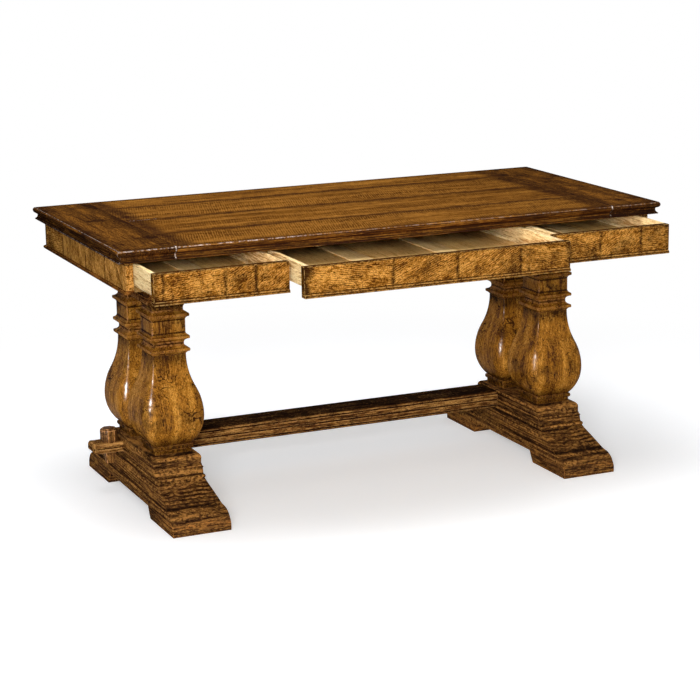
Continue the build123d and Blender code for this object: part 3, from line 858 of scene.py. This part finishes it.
# Tones of the timbers: pale, mid, dark and the wax in their hollows
TOP_TONES = ("9a682a", "744a1a", "46290f", "2a160e")
BREADBOARD_TONES = ("80521e", "5c3a16", "38200e", "22120c")
FRONT_TONES = ("e2a24c", "9e651f", "4c280a", "2a1508")
APRON_TONES = ("e6aa58", "b27832", "563412", "28160a")
MOULDING_TONES = ("96602a", "603a16", "321c0c", "1c0e08")
BALUSTER_TONES = ("d0923a", "9e661e", "48280c", "1e0f06")
FOOT_TONES = ("a67236", "6e4926", "3e2714", "1c1009")
STRETCHER_TONES = ("bc8a4a", "764c24", "361f0e", "1a0e08")
DRAWER_TONES = ("f8dea6", "ebc98f", "b48852", "7a5628")
MUNTIN_TONES = ("fcdca0", "f0cc8a", "d8ae6e", "8a6a3c")
BOTTOM_TONES = ("fcd086", "f6c678", "d09c56", "5c4020")
CARCASS_TONES = ("a07c48", "866436", "5e4322", "33230f")

# Leaves of veneer: places of their joints along the face, slants of their figure, and a seed
FRONT_LEAVES = {
    "drawer_left": ((-0.724, -0.558, -0.475), (-0.2, -0.15, -0.5, -0.6), 1.0),
    "drawer_centre": ((-0.136, 0.048, 0.234), (0.15, -0.4, -0.5, 0.2), 4.0),
    "drawer_right": ((0.53, 0.66), (-0.2, -0.5, 0.1), 7.0),
}
END_JOINTS = (-0.079, 0.091, 0.302)
END_SLANTS = (-0.9, -0.95, -1.45, 0.1)
APRON_LEAVES = {
    "end_apron_left": ("Y", END_JOINTS, END_SLANTS, 5.2),
    "end_apron_right": ("Y", END_JOINTS, END_SLANTS, 8.4),
    "back_apron": ("X", (-0.5, -0.25, 0.0, 0.25, 0.5), (0.5, -0.5, 0.5, -0.5, 0.5, -0.5), 3.1),
}

# How strongly the rays show on each plank of the top, and how they slant
PLANK_RAYS = {1: 0.95, 2: 0.45, 3: 0.9, 4: 0.4}
PLANK_SLANT = -1.29


def node_box(name):
    """Lowest and highest corner of a CAD node, as plain tuples."""
    return tuple(tuple(corner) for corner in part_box(name))


def top_hollow(bench, vector):
    """Dark wax of the top: seams of the breadboards, joints of the planks, and the moulded edge,
    with painted shade as well in the edge's grooves.
    """
    x, y, z = bench.parts(vector)
    off_middle = bench.sum("ABSOLUTE", x)
    inside = bench.sum("SUBTRACT", SEAM_X, off_middle)
    uneven = bench.sum("MULTIPLY_ADD", bench.noise(vector, (18, 9, 9), 3, 0.6), 0.05, -0.025)
    seam = bench.ease(bench.sum("ABSOLUTE", inside), 0.0, 0.004, 1.0, 0.0)
    band = bench.sum("ABSOLUTE", bench.sum("ADD", bench.sum("SUBTRACT", inside, 0.024), uneven))
    band = bench.ease(band, 0.002, 0.050, 0.72, 0.0)
    beside = bench.ease(bench.sum("ADD", inside, uneven), -0.045, 0.0, 0.0, 0.5)
    beside = bench.times(beside, bench.below(inside, 0.0))
    wavy = bench.sum("ADD", y, bench.times(uneven, 0.7))
    joints = levels_mask(bench, wavy, PLANK_JOINTS, reach=0.026)
    joints = bench.times(joints, bench.above(inside, 0.0))
    rim = bench.least(
        bench.sum("SUBTRACT", y, FRONT_EDGE_Y), bench.sum("SUBTRACT", BACK_EDGE_Y, y),
        bench.sum("SUBTRACT", DESK_HALF_LENGTH, off_middle),
    )
    rim = bench.ease(bench.sum("ADD", rim, uneven), 0.006, 0.034, 0.55, 0.0)
    soft = bench.most(bench.times(joints, 0.66), rim, band, beside)
    soft = bench.times(soft, bench.above(z, FACE_LEVEL))
    layers = bench.ease(bench.noise(vector, (5, 5, 330), 2, 0.6), 0.46, 0.54, 0.15, 0.95)
    layers = bench.times(layers, bench.below(z, EDGE_LEVEL))
    # The grooves of the moulded edge take dark wax and painted shade
    return bench.most(seam, soft, layers, levels_mask(bench, z, TOP_GROOVES, reach=0.0026))


def top_wear_and_highlights(bench, vector, rubbed):
    """Pale wood of the top: painted highlights in dashes along the front arris and beside the
    moulding's seams, a pale split, and rubbed arrises at the ends.
    """
    x, y, z = bench.parts(vector)
    off_middle = bench.sum("ABSOLUTE", x)
    from_front = bench.sum("SUBTRACT", y, FRONT_EDGE_Y)
    # Painted highlight: pale dashes along the rounded front arris
    arris = bench.ease(from_front, 0.0018, 0.0042, 0.9, 0.0)
    arris = bench.times(arris, bench.above(z, EDGE_LEVEL))
    dashes = bench.ease(bench.noise(vector, (75, 8, 8), 3, 0.65), 0.38, 0.56)
    dashes = bench.times(dashes, bench.ease(x, -0.45, -0.2, 0.7, 0.2))
    # Painted highlight on one side of the moulding's seam notch
    notch = bench.away(off_middle, SEAM_X + NOTCH_ASIDE)
    notch = bench.ease(notch, 0.0009, 0.0024, 1.0, 0.0)
    notch = bench.times(notch, bench.below(from_front, 0.016))
    grit = bench.ease(bench.noise(vector, (40, 40, 160), 2), 0.38, 0.5)
    split = bench.ease(bench.away(y, PLANK_JOINTS[1] - SPLIT_ASIDE), 0.0006, 0.0016, 0.8, 0.0)
    split = bench.times(split, bench.ease(bench.away(x, SPLIT_X), 0.036, 0.042, 1.0, 0.0))
    split = bench.times(split, bench.above(z, FACE_LEVEL))
    ends = bench.ease(off_middle, 0.785, 0.792, 0.0, 0.35)
    return bench.most(
        bench.times(arris, dashes), bench.times(notch, grit), split, bench.times(ends, rubbed)
    )


def plank_finish(number):
    """One plank of the top, with its own figure, which its moulded edge doesn't show."""
    def ray(bench, vector):
        return bench.times(bench.above(bench.parts(vector)[2], FACE_LEVEL), PLANK_RAYS[number])

    return polished("Top oak %d" % number, timber_recipe(
        "X", TOP_TONES, seed=number * 1.37, ray=ray, slant=PLANK_SLANT, mottle=0.3,
        hollow=top_hollow, scratches=0.25, holes=0.3, streak=0.7, rub=PALE_RUB_AND_HIGHLIGHT, wear_and_highlights=top_wear_and_highlights,
    ))


def breadboard_finish(end):
    """A breadboard end, darker than the planks."""
    return polished("Breadboard oak " + end, timber_recipe(
        "Y", BREADBOARD_TONES, seed=4.1 if end == "left" else 6.3, mottle=0.8,
        hollow=top_hollow, holes=0.4, scratches=0.4, rub=PALE_RUB_AND_HIGHLIGHT, wear_and_highlights=top_wear_and_highlights,
    ))


def leaf_seams(bench, vector, run, joints):
    """Dark smudges where the leaves of a veneered face meet."""
    smudge = bench.noise(vector, (60, 60, 45), 3, 0.6)
    shifted = bench.sum("MULTIPLY_ADD", smudge, 0.012, bench.sum("SUBTRACT", run, 0.006))
    seams = levels_mask(bench, shifted, joints, reach=0.008)
    return bench.times(seams, bench.ease(smudge, 0.35, 0.6, 0.3, 0.85))


def veneer_recipe(along, joints, slants, tones, seed, mottle, grooves, ends, crests=()):
    """Leaves of oak burr, with wax in their seams and towards the given ends, dark wax and painted
    shade in the grooves, paler crests, and darker below the lip.
    """
    pale, mid, dark, wax = [colour(code) for code in tones]

    def recipe(bench, rubbed):
        vector = bench.add("TexCoord").outputs["Object"]
        x, y, z = bench.parts(vector)
        run, depth = (x, y) if along == "X" else (y, x)
        turn, leaf = slants[0], 0.0
        for joint, slant, before in zip(joints, slants[1:], slants):
            past = bench.above(run, joint)
            turn = bench.sum("MULTIPLY_ADD", past, slant - before, turn)
            leaf = bench.sum("ADD", leaf, past)
        flat = bench.turn(bench.point(run, z, depth), bench.point(0.0, 0.0, turn))
        wood = bench.group(
            OAK_TIMBER, Vector=bench.vector("MULTIPLY", flat, (5.5, 1.3, 1.3)),
            Seed=bench.sum("MULTIPLY_ADD", leaf, 2.17, seed), Pale=pale, Mid=mid, Dark=dark,
            Ray=0.8, Slant=0.0, Streak=1.3,
        )
        # Dark wax and painted shade in the moulding's grooves
        deep = levels_mask(bench, z, grooves, reach=0.0024)
        if crests:
            crest = bench.times(levels_mask(bench, z, crests, reach=0.0016), 0.6)
            rubbed = bench.most(rubbed, crest)
            deep = bench.most(deep, bench.ease(z, *FRONT_LIP, 0.38, 0.0))
        edge = bench.ease(bench.noise(vector, (40, 40, 30), 2), 0.3, 0.7, 0.3, 1.0)
        edge = bench.times(levels_mask(bench, run, ends, reach=0.019), edge)
        knocks = bench.group(OLD_KNOCKS, Vector=vector, Holes=0.35, Scratches=0.2)
        deep = bench.most(deep, edge, leaf_seams(bench, vector, run, joints), knocks["Mark"])
        wax_coat = bench.group(
            OLD_POLISH, Color=wood["Color"], Vector=vector, Hollow=deep, Rubbed=rubbed,
            Mottle=mottle, Wax=wax, Rub=colour("d8a860"),
        )
        height = bench.sum("ADD", wood["Height"], wax_coat["Height"])
        return wax_coat["Color"], wax_coat["Shine"], wax_coat["Gloss"], height

    return recipe


def front_finish(drawer):
    """A drawer front faced with veneer leaves, with dark lines in its two mouldings."""
    low, high = node_box(drawer + "_front")
    joints, slants, seed = FRONT_LEAVES[drawer]
    return polished("Front veneer " + drawer, veneer_recipe(
        "X", joints, slants, FRONT_TONES, seed, 0.75, FRONT_GROOVES, (low[0], high[0]),
        FRONT_CRESTS,
    ), coat=0.06)


def apron_finish(name):
    """An apron faced with veneer leaves."""
    along, joints, slants, seed = APRON_LEAVES[name]
    far_corner = node_box(name)[1]
    far_end = far_corner[0] if along == "X" else far_corner[1]
    return polished("Apron veneer " + name, veneer_recipe(
        along, joints, slants, APRON_TONES, seed, 0.5, APRON_GROOVES, (far_end,),
    ))


def baluster_wax_and_shade(bench, vector):
    """Dark wax and painted shade in the recesses and necks of a baluster, on its plinth and towards
    the foot and neck of its vase; painted shade alone on its cap; a little darker over the rings.
    """
    z = bench.parts(vector)[2]
    # Dark wax and painted shade in the recesses and the coves of the necks
    recesses = levels_mask(bench, z, BALUSTER_RECESSES, reach=0.0045)
    necks = bench.most(
        levels_mask(bench, z, RING_NECK, reach=0.011), levels_mask(bench, z, CAP_NECK, reach=0.009)
    )
    # Dark wax and painted shade towards the foot and the neck of the vase
    foot = bench.ease(z, *VASE_FOOT_SPAN, 0.6, 0.0)
    neck = bench.ease(z, *VASE_NECK_SPAN, 0.0, 0.6)
    vase = bench.times(bench.below(z, RING_FOOT), bench.sum("ADD", foot, neck))
    rings = bench.ease(z, *RINGS_SPAN, 0.0, 0.2)
    # Painted shade: the cap lies in the shadow under the frieze
    cap = bench.ease(z, *CAP_SHADE_SPAN, 0.0, 0.88)
    # Dark wax and painted shade on the plinth under the vase's belly
    plinth = bench.ease(z, *PLINTH_SPAN, 0.35, 0.0)
    return bench.most(recesses, bench.times(necks, 0.8), vase, rings, cap, plinth)


def slope_lines(bench, vector, levels, reach):
    """Wavy, uneven level lines on the slope of a foot."""
    z = bench.parts(vector)[2]
    slope = bench.times(bench.above(z, SLOPE_SPAN[0]), bench.below(z, SLOPE_SPAN[1]))
    wave = bench.sum("MULTIPLY_ADD", bench.noise(vector, (22, 4, 8), 2, 0.5), 0.012, -0.006)
    uneven = bench.ease(bench.noise(vector, (13, 5, 16), 2, 0.5), 0.34, 0.6, 0.2, 0.85)
    lines = levels_mask(bench, bench.sum("ADD", z, wave), levels, reach)
    return bench.times(slope, uneven, lines)


def foot_wax_and_shade(bench, vector):
    """Dark wax and painted shade along the steps and grooves of a foot and between its ridges, and
    darker on its toe.
    """
    z = bench.parts(vector)[2]
    # Dark wax and painted shade in the grooves, at the steps and between the slope's ridges; the
    # toe only darker
    return bench.most(
        levels_mask(bench, z, FOOT_GROOVES, reach=0.0024),
        levels_mask(bench, z, FOOT_STEPS, reach=0.0045),
        slope_lines(bench, vector, SLOPE_GROOVES, reach=0.0022),
        bench.ease(z, *TOE_SPAN, 0.16, 0.0),
    )


def foot_wear_and_highlights(bench, vector, rubbed):
    """Golden wood on the beads, lips and ridges of a foot, in broken lines: wear and painted
    highlights.
    """
    z = bench.parts(vector)[2]
    lines = bench.most(
        levels_mask(bench, z, FOOT_BEADS, reach=0.0045),
        levels_mask(bench, z, FOOT_LIPS, reach=0.0022),
    )
    broken = bench.ease(bench.noise(vector, (30, 8, 60), 3, 0.6), 0.30, 0.50)
    ridges = slope_lines(bench, vector, SLOPE_RIDGES, reach=0.0026)
    # Wear and painted highlights on the beads, lips and slope ridges
    return bench.most(
        rubbed, bench.times(lines, broken), bench.times(ridges, bench.times(broken, 0.85))
    )


def stretcher_hollow(bench, vector):
    """Dark wax and painted shade in the reeds, and darker on the top of the stretcher."""
    z = bench.parts(vector)[2]
    # Dark wax and painted shade in the reeds
    reeds = levels_mask(bench, z, STRETCHER_REEDS, reach=0.0032)
    return bench.most(reeds, bench.ease(z, *STRETCHER_TOP_SPAN, 0.0, 0.75))


bpy.context.scene.view_settings.view_transform = "Standard"
aim_camera()
lay_floor()
light_studio()

baluster_finish = polished("Baluster oak", timber_recipe(
    "Z", BALUSTER_TONES, seed=3.3, ray=0.15, mottle=0.65, hollow=baluster_wax_and_shade, holes=0.9,
    scratches=0.9, streak=0.55, rub="b0743a",
), coat=0.2, depth=0.0008)
foot_finish = polished("Foot oak", timber_recipe(
    "Y", FOOT_TONES, seed=8.2, mottle=0.16, hollow=foot_wax_and_shade, holes=0.6, scratches=0.4,
    streak=1.3, rub="c68a44", wear_and_highlights=foot_wear_and_highlights, layers=0.8,
), coat=0.03, depth=0.0018)
pad_finish = polished("Pad oak", timber_recipe(
    "Y", FOOT_TONES, seed=5.9, mottle=0.3, holes=0.6, scratches=0.5, streak=1.2, rub="c07c38",
    layers=0.7,
), coat=0.03, depth=0.0014)
bearer_finish = polished("Bearer oak", timber_recipe(
    "Y", MOULDING_TONES, seed=2.7, mottle=0.8, holes=0.4, rub="a8682c",
), coat=0.03)
stretcher_finish = polished("Stretcher oak", timber_recipe(
    "X", STRETCHER_TONES, seed=9.4, mottle=0.7, hollow=stretcher_hollow, holes=0.6,
    scratches=0.4, streak=1.5, rub="d49c5c",
), coat=0.03)
peg_finish = polished("Peg oak", timber_recipe(
    "Z", FOOT_TONES, seed=1.9, mottle=0.7, holes=0.4, scratches=0.6, rub="dc9a5c",
), coat=0.3)
bead_finish = polished("Bead oak", timber_recipe(
    "Y", MOULDING_TONES, seed=7.7, mottle=0.6, rub="b87a38",
))
drawer_finish = polished("Drawer side oak", timber_recipe(
    "Y", DRAWER_TONES, seed=3.9, mottle=0.12, streak=1.7, rub="f0dfb8",
), specular=0.03)
muntin_finish = polished("Muntin oak", timber_recipe(
    "Y", MUNTIN_TONES, seed=7.1, mottle=0.05, streak=0.6, rub="fbe2b0",
))
drawer_back_finish = polished("Drawer back oak", timber_recipe(
    "X", DRAWER_TONES, seed=6.1, mottle=0.15, streak=1.6, rub="f0dfb8",
), specular=0.05)
bottom_finish = polished("Drawer bottom oak", timber_recipe(
    "Y", BOTTOM_TONES, seed=2.2, mottle=0.12, streak=0.8, rub="c8b078",
), specular=0.05)
carcass_finish = polished("Carcass oak", timber_recipe(
    "Y", CARCASS_TONES, seed=4.8, mottle=0.4, streak=1.2, rub="a8864c",
), specular=0.05)

build_balusters(baluster_finish)
for number in PLANK_RAYS:
    soften("top_plank_%d" % number, plank_finish(number), BOARD_ARRIS)
for end in ("left", "right"):
    soften("breadboard_" + end, breadboard_finish(end), BOARD_ARRIS)
    soften("end_apron_" + end, apron_finish("end_apron_" + end), BOARD_ARRIS)
    soften("end_bead_" + end, bead_finish, BEAD_ARRIS)
    soften("bearer_" + end, bearer_finish, BEAM_ARRIS)
    soften("foot_" + end, foot_finish, FOOT_ARRIS)
    for place in ("front", "back"):
        soften("foot_%s_pad_%s" % (end, place), pad_finish, BOARD_ARRIS)
    for part in ("partition_", "inner_runner_", "outer_runner_", "tie_rail_"):
        soften(part + end, carcass_finish, CARCASS_ARRIS)
soften("back_apron", apron_finish("back_apron"), CARCASS_ARRIS)
soften("back_bead", bead_finish, BEAD_ARRIS)
soften("front_rail", carcass_finish, CARCASS_ARRIS)
soften("top_rail", carcass_finish, BEAD_ARRIS)
soften("kickers", carcass_finish, BEAD_ARRIS)
soften("stretcher", stretcher_finish, BEAM_ARRIS)
soften("tusk_pegs", peg_finish, PEG_ARRIS)
for drawer in FRONT_LEAVES:
    soften(drawer + "_front", front_finish(drawer), FRONT_ARRIS)
    for part in ("_side_left", "_side_right"):
        soften(drawer + part, drawer_finish, SIDE_ARRIS)
    soften(drawer + "_back", drawer_back_finish, PANEL_ARRIS)
    soften(drawer + "_bottom", bottom_finish, PANEL_ARRIS)
    soften(drawer + "_muntins", muntin_finish, PANEL_ARRIS)
    soften(drawer + "_slips", drawer_finish, SLIP_ARRIS)

# The loose tenons, which no side shows, keep their own mesh
tenons = frame["nodes"]["bearer_tenons"].data
tenons.materials.clear()
tenons.materials.append(carcass_finish[0])
